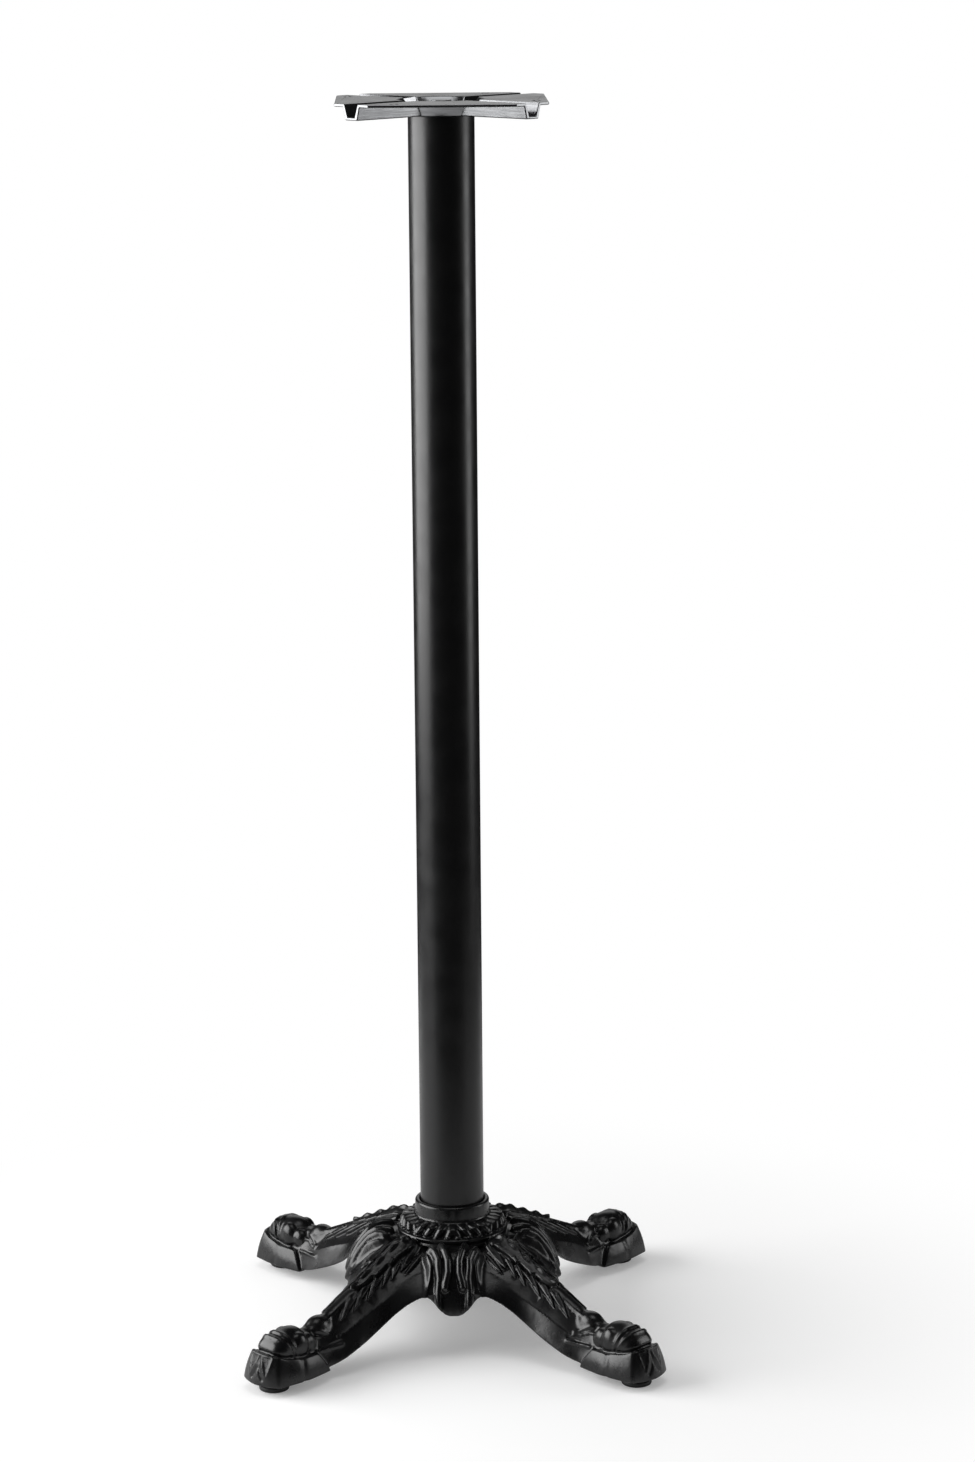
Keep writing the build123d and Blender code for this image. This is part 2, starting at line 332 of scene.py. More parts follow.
# Leg seen along its reach: reach, ridge height, crown half width, ledge half width and height,
# hem half width and height
LEG = np.array([
    (30, 84, 8, 38, 75, 66, 67),
    (44, 90, 8, 37, 76, 63, 65),
    (56, 94, 8, 36.5, 76.5, 60, 63.2),
    (66, 94, 8, 35, 76, 56.5, 61.8),
    (75, 90, 8, 32, 73.5, 52.5, 60),
    (84, 86, 8, 29, 70, 47.8, 57.5),
    (94, 81.5, 7.5, 26.5, 64.5, 40.8, 52.5),
    (103, 77.5, 7, 24.8, 58.5, 35.2, 46),
    (112, 73.5, 6.6, 23.6, 54, 31.6, 39),
    (122, 69, 6.2, 22.6, 50, 29.2, 32.5),
    (133, 64, 6, 22, 46, 28.5, 27),
    (144, 59, 6, 21.3, 41.5, 28, 22.5),
    (154, 54.5, 6, 19.6, 36.8, 27, 18.5),
    (163, 50.5, 6, 18.2, 33, 26, 15),
    (172, 48, 6.5, 17.2, 31, 22.5, 12.2),
    (179, 46.5, 6.8, 16.5, 29.5, 21, 10.8),
    (186, 45, 7, 16, 28.5, 23, 9.6),
    (200, 45, 7, 15, 27, 22, 9.4),
])

# Leaf tufts on a leg's sides: root and tip as reach, side and drop below the ridge, moved onto the
# skin before use; width, thickness
TUFTS = (
    ((58, 12, 6.5), (85, 17.5, 13), 14, 3.6),
    ((60, 21, 12), (84, 21.5, 17), 8, 3.0),
    ((74, 9, 4.5), (95, 16.5, 14), 8.5, 2.8),
    ((84, 8, 4), (106, 15.5, 12.5), 7.5, 2.7),
    ((93, 8, 4), (113, 12.8, 9.5), 4.6, 2.2),
    ((101, 7.5, 4), (123, 14.6, 11.5), 7, 2.6),
    ((110, 7, 3.8), (130, 12, 8.5), 4.2, 2.1),
    ((118, 6.5, 3.5), (139, 13.6, 10.5), 6.4, 2.4),
    ((127, 6.5, 3.3), (146, 11.5, 8), 3.8, 2.0),
    ((135, 6, 3), (154, 12.6, 9), 5.4, 2.2),
)

# Way that a leg's wall faces under the tufts, as reach, side and height
WALL_FACES = (0.3, 0.69, 0.66)

# Leaf on the ridge as pairs of reach and value: its half width, and the depth and half width of
# the trench beside it
LEAF_EDGE = (
    (54, 4), (60, 9.5), (66, 10.4), (78, 9), (88.5, 9.6), (90, 7),
    (98, 7.4), (105.5, 7.6), (107, 5), (116, 5.4), (123, 3.8), (129, 0.5),
)
TRENCH_DEPTH = ((56, 0), (66, 4.0), (84, 3.2), (100, 2.4), (126, 1.6), (132, 0))
TRENCH_HALF = ((66, 2.2), (84, 1.8), (100, 1.3))

# Paw rim seen from above, one half: a point on each side, the way it faces and how it leans in
PAW_SIDES = (
    ((177, 0), (-1, 0), 0.6),
    ((206, 27.6), (-0.107, 0.994), 0.3),
    ((206, 27.6), (0.1, 0.995), 0.27),
    ((232, 24.4), (0.2, 0.98), 0.28),
    ((244.2, 11.4), (0.894, 0.447), 0.27),
    ((246, 0), (0.987, 0.16), 0.29),
)

# Top of the paw's block as pairs of reach and height
PAW_LEDGE = ((188, 27.5), (206, 28.5), (224, 32), (232, 35), (242, 35))

# Knuckle, instep, front toe, side toe and heel: centre, half lengths, squareness in plan, and how
# softly each one melts into the paw
TOES = (
    ((169.8, 0, 41), (13, 10.5, 11.2), 2.0, 3.5),
    ((206, 0, 36.5), (18, 14, 15.6), 2.0, 2.0),
    ((212, 0, 34.4), (21, 17, 16.6), 3.4, 0.8),
    ((203.5, 10.5, 35.5), (10.5, 7.6, 13.2), 2.0, 1.0),
    ((191.5, 8.5, 34.5), (9, 7, 10), 2.0, 1.6),
)

# Carved lines on the paw: half width, depth (below zero stands proud), and the points, which are
# moved onto the skin before use
PAW_LINES = (
    # Groove where the toes meet the ledge
    (1.2, 1.6, ((188, 16, 28.5), (198, 18, 28), (207, 18.6, 29), (215, 18.2, 31))),
    # Cuff over the front toe: welt, groove and welt
    (1.3, -2.0, (
        (225.6, 0, 49), (225, 7, 48), (223, 11.6, 45.4),
        (220.4, 14.4, 42), (218.2, 16, 38), (215.6, 17, 32.5),
    )),
    (1.2, 2.0, (
        (221.8, 0, 50.4), (221, 7, 49.4), (219.4, 11.6, 46.6),
        (217.6, 14.6, 42.6), (216, 16.2, 37.6), (214, 17, 32),
    )),
    (1.2, -1.6, (
        (218, 0, 51), (217, 7, 50.4), (215.6, 11.8, 47.4),
        (214.2, 14.8, 43), (213, 16.6, 37.4), (211.6, 17.2, 32),
    )),
    # Groove round the front toe's foot
    (1.4, 2.2, (
        (215, 17.8, 30), (221, 17.2, 30.8), (227, 16, 32.2),
        (231.4, 12.4, 34), (233, 6.5, 35), (233.4, 0, 35.2),
    )),
    # Claw: lip, groove down its middle and its two edges
    (1.0, -0.7, ((237.8, 0, 34.6), (237.2, 7, 34.8), (236, 13, 35))),
    (1.2, 1.3, ((238.2, 0, 33.6), (240.4, 0, 26), (241.4, 2.4, 20), (242.4, 6, 15))),
    (0.9, -1.0, ((238.2, 1.6, 33.4), (239.6, 5, 24), (241.6, 8.8, 16.5))),
    (0.9, -1.0, ((236.2, 13, 34), (239.6, 11.6, 24), (242, 10, 16))),
    # Soft groove down the block's side
    (2.6, 0.7, ((208, 19.5, 29), (209.5, 23, 20), (210.5, 26.4, 11))),
    # Ankle: two welts, then the groove and the welt along the leg's ledge
    (1.1, -2.4, ((163.5, 15, 36), (172, 14, 40.5), (180, 12.6, 43.6))),
    (1.1, -2.2, ((163.5, 16, 34), (173, 15.4, 37), (180.5, 14.4, 40))),
    (1.2, 1.6, ((160, 17.5, 30), (172, 17, 30), (184, 16, 29.6))),
    (1.1, -1.8, ((159, 18.5, 27), (171, 18, 27.2), (183, 16.6, 27.4))),
)

# Hub turned about the column's axis: radius and height down the outside
HUB = (
    (33.6, 108), (33.8, 105.8), (35, 104.6), (39.6, 103.8), (43.2, 101.6), (44.8, 98.4),
    (44.9, 95.2), (48.4, 94.4), (49.8, 93.6), (50.1, 92.4), (49.4, 91.2), (48.6, 90.2),
    (48.8, 88.8), (49.9, 88.2), (50.2, 87.2), (49.6, WEB_LOW),
)

# Tongue between the legs: radius and height down the outside, then its ribs as side and run,
# half width and height, and pairs of run and half width of the tongue
TONGUE = np.array([
    (44, 90), (51, 91.6), (57, 93), (63, 93.4), (69, 92), (75, 88), (80, 82.6),
    (84.5, 76.6), (88.5, 70), (91.8, 63), (94.5, 56), (96.5, 49), (98, 41.8), (99, 34),
])
RIBS = (
    (((10.5, 12), (8.8, 22), (5.2, 36), (5.0, 47), (7.6, 57), (8.0, 61)), 4.3, 5.0),
    (((25, 12), (18, 22), (13.8, 34), (13.9, 42), (12.8, 52), (14, 64), (13.4, 80)), 3.8, 4.4),
    (((28, 18), (24.5, 30), (21.4, 40), (22.6, 52), (25.8, 66), (27, 78)), 3.3, 3.6),
)
TONGUE_HALF = ((0, 21), (20, 23.5), (40, 22), (48, 22), (70, 25.5), (90, 28))


def blend(a, b, soft):
    """Softly joined union of two distance fields."""
    h = np.clip(0.5 + 0.5 * (b - a) / soft, 0, 1)
    return b + (a - b) * h - soft * h * (1 - h)


def keep(a, b, soft):
    """Softly edged overlap of two distance fields."""
    return -blend(-a, -b, soft)


def ramp(way, over):
    """Share of a way that is gone, from 0 to 1."""
    return np.clip(way / over, 0, 1)


def rounding(way, over):
    """Fall of a quarter circle, from 0 at its top to 1 at its side."""
    return 1 - np.sqrt(1 - ramp(way, over) ** 2)


def bell(way, half):
    """Bell-shaped swell, 1 at its middle."""
    return np.exp(-((way / half) ** 2))


def read(pairs, at):
    """Value between pairs of place and value."""
    places, values = zip(*pairs)
    return np.interp(at, places, values)


def to_line(points, p, q, r=0.0):
    """Distance from points given as coordinate arrays to a chain of straight pieces."""
    best = None
    for a, b in zip(points, points[1:]):
        a = np.array(a, float)
        way = np.array(b, float) - a
        rel = [p - a[0], q - a[1]] + ([r - a[2]] if len(a) > 2 else [])
        t = np.clip(sum(c * w for c, w in zip(rel, way)) / way.dot(way), 0, 1)
        gap = sum((c - t * w) ** 2 for c, w in zip(rel, way))
        best = gap if best is None else np.minimum(best, gap)
    return np.sqrt(best)


def split(place, size):
    """Whole and broken part of places in a table, kept just short of its end."""
    place = np.clip(place, 0, size - 1.001)
    low = place.astype(int)
    return low, place - low


def between(table, rows):
    """Rows of a table read at broken row numbers."""
    low, share = split(rows, len(table))
    share = share[:, :, None]
    return table[low] * (1 - share) + table[low + 1] * share


class Sculpt:
    """Distance field of one quarter of the casting in millimetres, iron below zero."""

    def __init__(self, grain):
        room = 5
        self.grain = grain
        self.side = np.arange(grain / 2, CAST_TOP[0] / MM + room, grain)
        self.up = np.arange(CAST_LOW[2] / MM - room, CAST_TOP[2] / MM + room, grain)
        x, y = np.meshgrid(self.side, self.side, indexing="ij")
        self.reach = ((x + y) / DIAGONAL)[:, :, None]
        self.off = (np.abs(x - y) / DIAGONAL)[:, :, None]
        self.out = np.maximum(x, y)[:, :, None]
        self.beside = np.minimum(x, y)[:, :, None]
        self.from_axis = np.hypot(self.out, self.beside)
        self.z = self.up[None, None, :]
        self.field = None

    def legs(self, wall):
        """Leg with its sloping walls, ledge and hem; returns the hollow under it too."""
        smooth = (-5, 0, 5)
        start, end = 30, 194
        hollow_end, hollow_side = 205, 60
        thicker_roof = 2.5
        slant, hem_soft = 0.78, 1.5
        rows = []
        for column in range(1, LEG.shape[1]):
            near = [np.interp(self.reach + d, LEG[:, 0], LEG[:, column]) for d in smooth]
            rows.append(sum(near) / len(near))
        ridge, crown, ledge_w, ledge_z, hem_w, hem_z = rows

        # The wall steps in above the ledge, and a little more along the outer leg
        step_in, step_up = 0.8, 1.0
        more, more_from, more_over = 0.7, 80, 16
        crown_tall = 5
        z = self.z
        foot_w = ledge_w - step_in - more * ramp(self.reach - more_from, more_over)
        foot_z = ledge_z + step_up
        shoulder = ridge - crown_tall
        width = hem_w + (ledge_w - hem_w) * ramp(z - hem_z, ledge_z - hem_z)
        width = width + (foot_w - ledge_w) * ramp(z - ledge_z, foot_z - ledge_z)
        width = width + (crown - foot_w) * ramp(z - foot_z, shoulder - foot_z)
        width = width - crown * rounding(z - shoulder, ridge - shoulder)
        sides = (self.off - width) * slant
        body = keep(sides, hem_z - z, hem_soft)
        body = np.maximum(body, z - ridge)
        body = np.maximum(body, np.maximum(start - self.reach, self.reach - end))
        hollow = np.maximum(sides + wall, z - ridge + wall + thicker_roof)
        hollow = np.maximum(hollow, np.maximum(self.reach - hollow_end, self.off - hollow_side))
        return body, hollow

    def tongues(self):
        """Fluted tongue hanging between two legs."""
        radius = np.arange(0, self.side[-1] + 1, STEP)
        p, q = np.meshgrid(radius, self.up, indexing="ij")
        gap = np.full(p.shape, np.inf)
        run = np.zeros(p.shape)
        done = 0.0
        for a, b in zip(TONGUE, TONGUE[1:]):
            way = b - a
            length = np.hypot(*way)
            t = np.clip(((p - a[0]) * way[0] + (q - a[1]) * way[1]) / length ** 2, 0, 1)
            dp = p - a[0] - t * way[0]
            dq = q - a[1] - t * way[1]
            here = np.hypot(dp, dq)
            inside = np.where(dp * way[1] - dq * way[0] > 0, 1, -1)
            closer = here < np.abs(gap)
            gap = np.where(closer, -here * inside, gap)
            run = np.where(closer, done + t * length, run)
            done += length
        gap, run = [between(table, self.out[:, :, 0] / STEP) for table in (gap, run)]

        # Ribs looked up by side and run, standing between flutes
        widest = 40
        flute, rib_round = 2.2, 0.75
        beside, along = np.meshgrid(np.arange(0, widest, STEP), np.arange(0, done + 1, STEP), indexing="ij")
        relief = np.zeros(beside.shape)
        for line, half, height in RIBS:
            near = np.clip(1 - (to_line(line, beside, along) / half) ** 2, 0, None)
            relief = np.maximum(relief, height * near ** rib_round)
        relief -= flute
        strips = between(relief, self.beside[:, :, 0] / STEP)
        low, share = split(run / STEP, strips.shape[2])
        here = np.take_along_axis(strips, low, 2)
        ahead = np.take_along_axis(strips, low + 1, 2)
        lift = here * (1 - share) + ahead * share

        # Sides that fall away and spread below the skin, and an end that is longest in the middle
        fall, fall_side = 9.0, 33
        spread, spread_from, spread_most = 0.6, 3, 30
        side_run, tip_run, tip_flat, tip_side = 67.5, 19, 3, 25
        side_slant, side_soft = 0.8, 4.0
        end_slant, end_soft = 0.9, 1.8
        round_off = fall * rounding(self.beside, fall_side)
        half = read(TONGUE_HALF, run)
        tip = 0.5 + 0.5 * np.cos(math.pi * ramp(self.beside - tip_flat, tip_side))
        end = side_run + tip_run * tip
        wider = spread * np.clip(-gap - spread_from, 0, spread_most)
        skin = keep(gap - lift + round_off, (self.beside - half - wider) * side_slant, side_soft)
        skin = keep(skin, (run - end) * end_slant, end_soft)

        # Hollow behind the skin
        side_wall, back_wall, open_below = 5.5, 6.0, 60
        inside = np.minimum(self.beside - half + side_wall, self.z - open_below)
        return np.maximum(skin, -np.maximum(gap + back_wall + round_off, inside))

    def hub(self, petals):
        """Collar, gadrooned ring and beaded disc."""
        play = 0.25
        widest, table_end = 58, 60
        top = CAST_TOP[2] / MM
        hole = TUBE_TOP[0] / MM + play
        web = [(ROD_HOLE, WEB_LOW), (ROD_HOLE, TUBE_SEAT), (hole, TUBE_SEAT)]
        rim = [
            (hole, top - 1.5), (hole + 1.2, top - 0.2), (31.2, top), (32.6, top - 0.5), (33.4, top - 1.8),
        ]
        loop = web + rim + list(HUB) + web[:1]
        p, q = np.meshgrid(np.arange(0, table_end, STEP), self.up, indexing="ij")
        inside = np.zeros(p.shape, bool)
        for (ar, az), (br, bz) in zip(loop, loop[1:]):
            if az != bz:
                inside ^= ((az > q) != (bz > q)) & (p < (br - ar) * (q - az) / (bz - az) + ar)
        gap = to_line(loop, p, q) * np.where(inside, -1, 1)
        gap = between(gap, self.from_axis[:, :, 0] / STEP)
        gap = np.maximum(gap, self.from_axis - widest)

        # Petals fan out from the middle of each tongue
        fan_turn, fan_top, fan_tall = 6.0, 104.5, 9
        ring_low, ring_high, ring_radius = 94.8, 105.2, 34
        fade_low, fade_high, fade_radius = 1.6, 2.0, 2
        puff, puff_round, seam = 4.2, 0.8, 0.42
        angle = np.degrees(np.arctan2(self.beside, self.out))
        fan = angle - fan_turn * ramp(fan_top - self.z, fan_tall)
        swell = np.abs(np.cos(np.radians(fan * petals / 2))) ** puff_round
        band = ramp(self.z - ring_low, fade_low) * ramp(ring_high - self.z, fade_high)
        band = band * ramp(self.from_axis - ring_radius, fade_radius)
        return gap - puff * band * (swell - seam)

    def window(self, low, high, margin):
        """Part of the grid round a box of reach, side and height."""
        span = (high[1] + margin) / DIAGONAL
        a = np.searchsorted(self.side, (low[0] - margin) / DIAGONAL - span)
        b = np.searchsorted(self.side, (high[0] + margin) / DIAGONAL + span)
        c = np.searchsorted(self.up, low[2] - margin)
        d = np.searchsorted(self.up, high[2] + margin)
        part = (slice(a, b), slice(a, b), slice(c, d))
        return part, self.reach[a:b, a:b], self.off[a:b, a:b], self.z[:, :, c:d]

    def egg(self, centre, radii, square, soft):
        """Rounded lump joined on: an ellipsoid at a squareness of 2, boxier in plan above that."""
        margin = 6
        centre = np.array(centre, float)
        radii = np.array(radii, float)
        part, s, o, z = self.window(centre - radii, centre + radii, margin)
        o = np.maximum(o - centre[1], -centre[1])
        ahead, beside, over = [np.abs(c) / r for c, r in zip((s - centre[0], o, z - centre[2]), radii)]
        plan = np.maximum(ahead ** square + beside ** square, TINY) ** (1 / square)
        size = np.maximum(np.hypot(plan, over), TINY)
        tilt = np.hypot(ahead ** (square - 1) / radii[0], beside ** (square - 1) / radii[1])
        tilt = tilt * plan ** (2 - square)
        gap = (size - 1) * size / np.maximum(np.hypot(tilt, over / radii[2]), TINY)
        self.field[part] = blend(self.field[part], gap, soft)

    def settle(self, points):
        """Line with more points set along it, all moved onto the skin."""
        rounds, spacing, longest = 4, 0.25, 1.5
        ends = np.array(points, float)
        share = np.arange(0, len(ends) - 1 + spacing / 2, spacing)
        line = np.stack([np.interp(share, np.arange(len(ends)), c) for c in ends.T], axis=1)
        for _ in range(rounds):
            x = (line[:, 0] + line[:, 1]) / DIAGONAL
            y = (line[:, 0] - line[:, 1]) / DIAGONAL
            places = ((x, self.side), (y, self.side), (line[:, 2], self.up))
            cells = [np.rint((place - grid[0]) / self.grain).astype(int) for place, grid in places]
            rise = []
            for axis in range(3):
                ahead = list(cells)
                back = list(cells)
                ahead[axis] = cells[axis] + 1
                back[axis] = cells[axis] - 1
                rise.append(self.field[tuple(ahead)] - self.field[tuple(back)])
            outward = (rise[0] + rise[1]) / DIAGONAL
            sideways = (rise[0] - rise[1]) / DIAGONAL
            slope = np.stack([outward, sideways, rise[2]], axis=1)
            slope /= np.maximum(np.linalg.norm(slope, axis=1), TINY)[:, None]
            line -= np.clip(self.field[tuple(cells)], -longest, longest)[:, None] * slope
            line[:, 1] = np.maximum(line[:, 1], 0)
        return line

    def carve(self, half, depth, points):
        """Line cut into the skin, or a welt standing proud where the depth is below zero."""
        line = self.settle(points)
        part, s, o, z = self.window(line.min(0), line.max(0), 3 * half)
        self.field[part] += depth * bell(to_line(line, s, o, z), half)

    def tuft_ends(self, root, tip):
        """Root and tip of a tuft, moved onto the leg's skin."""
        ends = []
        for reach, side, drop in (root, tip):
            ends.append((reach, side, np.interp(reach, LEG[:, 0], LEG[:, 1]) - drop))
        return self.settle(ends)[[0, -1]]

    def tuft(self, a, b, width, thick):
        """Pointed leaf tuft lying on a leg's wall, from its root to its tip."""
        lift, curl = 0.7, 0.8
        middle, half_long, last = 0.47, 0.53, 0.985
        plump, narrowest = 0.45, 0.05
        vein, vein_half = 0.7, 0.9
        soft = 0.5
        length = np.linalg.norm(b - a)
        along = (b - a) / length
        normal = np.array(WALL_FACES)
        normal -= along * normal.dot(along)
        normal /= np.linalg.norm(normal)
        across = np.cross(normal, along)
        part, s, o, z = self.window(np.minimum(a, b), np.maximum(a, b), width)
        rel = (s - a[0], o - a[1], z - a[2])
        t = sum(c * w for c, w in zip(rel, along)) / length
        v = sum(c * w for c, w in zip(rel, across))
        n = sum(c * w for c, w in zip(rel, normal)) - lift - curl * np.clip(t, 0, 1) ** 3

        # Outline widest a third of the way along, and closed at the tip
        inside = np.clip(t, 0.0, last)
        half = plump * width * (0.6 + 1.2 * inside - 1.8 * inside ** 2) + narrowest
        gap = (np.sqrt((v / half) ** 2 + (n / thick) ** 2) - 1) * np.minimum(half, thick)
        gap = np.maximum(gap, (np.abs(t - middle) - half_long) * length)
        groove = vein * bell(v, vein_half) * np.clip(1 - t, 0, 1)
        self.field[part] = blend(self.field[part], gap + groove, soft)

    def leaf(self):
        """Long leaf lying on the ridge, with stepped edges, a waved crest and a trench beside it."""
        start, end = LEAF_EDGE[0][0], LEAF_EDGE[-1][0]
        low_z, high_z, side, margin = 62, 100, 10, 3
        part, s, o, z = self.window((start, 0, low_z), (end + 1, side, high_z), margin)
        ridge = np.interp(s, LEG[:, 0], LEG[:, 1])
        width = read(LEAF_EDGE, s)

        trench_off, trench_drop, trench_fade = 1.4, 16, 4
        trench = read(TRENCH_DEPTH, s) * bell(o - width - trench_off, read(TRENCH_HALF, s))
        self.field[part] += trench * ramp(z - ridge + trench_drop, trench_fade)

        crest_high, crest_wave, crest_at, crest_long, crest_half = 1.5, 1.2, 77, 17, 2.2
        above, fall, thick = 1.0, 0.42, 9
        vein, vein_at, vein_half = 0.9, 0.55, 0.2
        top_slant, side_slant, edge_soft, join_soft = 0.85, 0.9, 1.0, 0.6
        crest = crest_high + crest_wave * np.cos((s - crest_at) / crest_long * 2 * math.pi)
        share = np.clip(o / np.maximum(width, 0.1), 0, 1.5)
        top = ridge + above - fall * o + crest * bell(o, crest_half) - vein * bell(share - vein_at, vein_half)
        gap = keep((z - top) * top_slant, (o - width) * side_slant, edge_soft)
        gap = np.maximum(gap, ridge - thick - z)
        gap = np.maximum(gap, np.maximum(start - s, s - end))
        self.field[part] = blend(self.field[part], gap, join_soft)

    def paw(self):
        """Flared block under the toes."""
        corner_soft, ledge_soft, rim_soft, join_soft = 2.2, 1.0, 1.2, 1.5
        bulge, ledge_slant = 0.9, 0.9
        crown_rise, crown_from, crown_most = 0.06, 15, 12
        start, end, side, high_z, margin = 172, 248, 30, 48, 4
        rim = CAST_LOW[2] / MM
        part, s, o, z = self.window((start, 0, rim), (end, side, high_z), margin)
        block = None
        for place, way, lean in PAW_SIDES:
            gap = (s - place[0]) * way[0] + (o - place[1]) * way[1] + lean * (z - rim)
            gap = gap / math.sqrt(1 + lean ** 2)
            block = gap if block is None else keep(block, gap, corner_soft)
        ledge = read(PAW_LEDGE, s)
        block = block - bulge * np.sin(math.pi * ramp(z - rim, ledge - rim))
        crown = crown_rise * np.clip(crown_from - o, 0, crown_most)
        block = keep(block, (z - ledge - crown) * ledge_slant, ledge_soft)
        block = keep(block, rim - z, rim_soft)
        self.field[part] = blend(self.field[part], block, join_soft)

    def build(self, petals, wall):
        """The whole quarter."""
        tongue_soft, hub_soft = 5.0, 1.2
        bore_deeper, deep = 4, -9
        body, hollow = self.legs(wall)
        self.field = blend(body, self.tongues(), tongue_soft)
        self.field = blend(self.field, self.hub(petals), hub_soft)
        del body
        ends = [self.tuft_ends(root, tip) for root, tip, _, _ in TUFTS]
        for (a, b), (_, _, width, thick) in zip(ends, TUFTS):
            self.tuft(a, b, width, thick)
        self.leaf()
        self.paw()
        for toe in TOES:
            self.egg(*toe)
        for line in PAW_LINES:
            self.carve(*line)
        under = np.maximum(hollow, np.where(self.from_axis < WEB_RADIUS, self.z - WEB_LOW, deep))
        self.field = np.maximum(self.field, -under)
        bores = np.hypot(self.reach - GLIDE_REACH / MM, self.off) - STUD_BORE
        bores = np.maximum(bores, self.z - PAD_TOP[2] / MM - bore_deeper)
        self.field = np.maximum(self.field, -bores)
        self.field = np.maximum(self.field, CAST_LOW[2] / MM - self.z)

    def mesh(self, name, limit):
        """Skin of the whole casting from the quarter, thinned to a number of triangles."""
        quarter = np.clip(self.field, -FAR, FAR).astype(np.float32)
        half = np.concatenate([quarter[::-1], quarter])
        whole = np.ascontiguousarray(np.concatenate([half[:, ::-1], half], axis=1))
        volume = openvdb.FloatGrid(FAR)
        volume.copyFromArray(whole)
        points, triangles, quads = volume.convertToPolygons(0.0, 0.0)
        start = np.array((-self.side[-1], -self.side[-1], self.up[0]))
        rough = bpy.data.meshes.new(name + "_rough")
        rough.from_pydata((points * self.grain + start) * MM, [], triangles.tolist() + quads.tolist())
        face_outward(rough)
        # Triangles that all the faces come to
        count = len(rough.loops) - 2 * len(rough.polygons)
        carrier = bpy.data.objects.new(name + "_rough", rough)
        bpy.context.scene.collection.objects.link(carrier)
        thin = carrier.modifiers.new("thin", "DECIMATE")
        thin.ratio = min(1.0, limit / count)
        made = bpy.data.meshes.new_from_object(carrier.evaluated_get(bpy.context.evaluated_depsgraph_get()))
        made.name = name
        bpy.data.objects.remove(carrier)
        bpy.data.meshes.remove(rough)
        made.shade_smooth()
        return made


# Operators

# Tube's wall and stud's radius in millimetres, and flats round the turned pieces
TUBE_WALL = 2.5
STUD_RADIUS = 5.0
TUBE_AROUND = 160
PAD_AROUND = 72

# Plate and fasteners: how close points are welded, the angle from which an edge is rounded, and the
# rounding of the fasteners in millimetres
WELD = 0.02
EDGE_ANGLE = math.radians(35)
FASTENERS = (
    ("tie_rod", 0.4),
    ("top_washer", 0.3),
    ("top_nut", 0.5),
    ("bottom_washer", 0.3),
    ("bottom_nut", 0.5),
)

# Camera's place in metres, and its turn, downward tilt and roll in degrees
CAMERA_PLACE = (-0.0293, -3.4291, 1.2921)
CAMERA_TURN = -1.08
CAMERA_TILT = 12.23
CAMERA_ROLL = -0.46
SENSOR_WIDTH = 36

# Floor's corners and the distances between which it fades to white, in metres, and its glow
FLOOR_CORNERS = ((-0.9, -0.5, 0), (0.9, -0.5, 0), (0.9, 0.9, 0), (-0.9, 0.9, 0))
FADE_FROM = 0.2
FADE_TO = 0.65
FLOOR_GLOW = (0.19, 0.19, 0.19, 1)

# White patch behind the object that its gloss mirrors: the way to it, and the world's strengths
WHITE = (1, 1, 1, 1)
PATCH_WAY = (0, 0.9, 0.43)
MIRRORED = {"From Min": 0.91, "From Max": 0.98, "To Min": 0.02, "To Max": 0.9}
AMBIENT = 0.3

# Softboxes: place, the point each one faces and its size, in metres
LAMPS = (
    ("key", (-1.98, 0.0, 1.05), (0, 0, 0.8), (2.3, 1.7)),
    ("fill", (1.98, 0.12, 0.75), (0, 0, 0.7), (0.75, 1.1)),
    ("top", (0.0, -0.3, 2.6), (0, 0, 0.3), (1.2, 1.2)),
)


class TABLEBASE_OT_casting(bpy.types.Operator):
    """Ornate base casting: hub with drapes, and four legs with paws"""

    bl_idname = "table_base.casting"
    bl_label = "Base casting"

    def execute(self, context):
        settings = context.scene.table_base_casting
        # Iron sprayed and baked: semi-gloss black that lights up along every carved edge
        coat = powder_coat(
            "Black powder coat on cast iron",
            settings.coat,
            roughness=0.28,
            peel_mm=1.6,
            peel_depth=0.1,
            wave_depth=0.22,
        )
        clay = Sculpt(settings.grain * (1.0))
        clay.build(settings.petals, settings.wall)
        put("casting", clay.mesh("casting", TRIANGLES), coat, stands_for=("base_casting",))
        return {"FINISHED"}


class TABLEBASE_OT_column(bpy.types.Operator):
    """Tube column standing in the casting's collar"""

    bl_idname = "table_base.column"
    bl_label = "Column"

    def execute(self, context):
        settings = context.scene.table_base_column
        # Drawn tube with a sprayed satin coat: smooth, so lamps stretch into long soft bands
        coat = powder_coat(
            "Satin black powder coat on steel tube",
            settings.coat,
            roughness=0.33,
            peel_mm=1.1,
            peel_depth=0.03,
            wave_depth=0.02,
        )
        r = TUBE_TOP[0] / MM
        low = TUBE_LOW[2] / MM
        high = TUBE_TOP[2] / MM
        e = settings.edge_round
        inner = r - TUBE_WALL
        profile = [(inner, low), (r - e, low), (r, low + e), (r, high - e), (r - e, high), (inner, high)]
        tube = turned_mesh("column", profile, TUBE_AROUND)
        put("column", tube, coat, stands_for=("column_tube",))
        return {"FINISHED"}


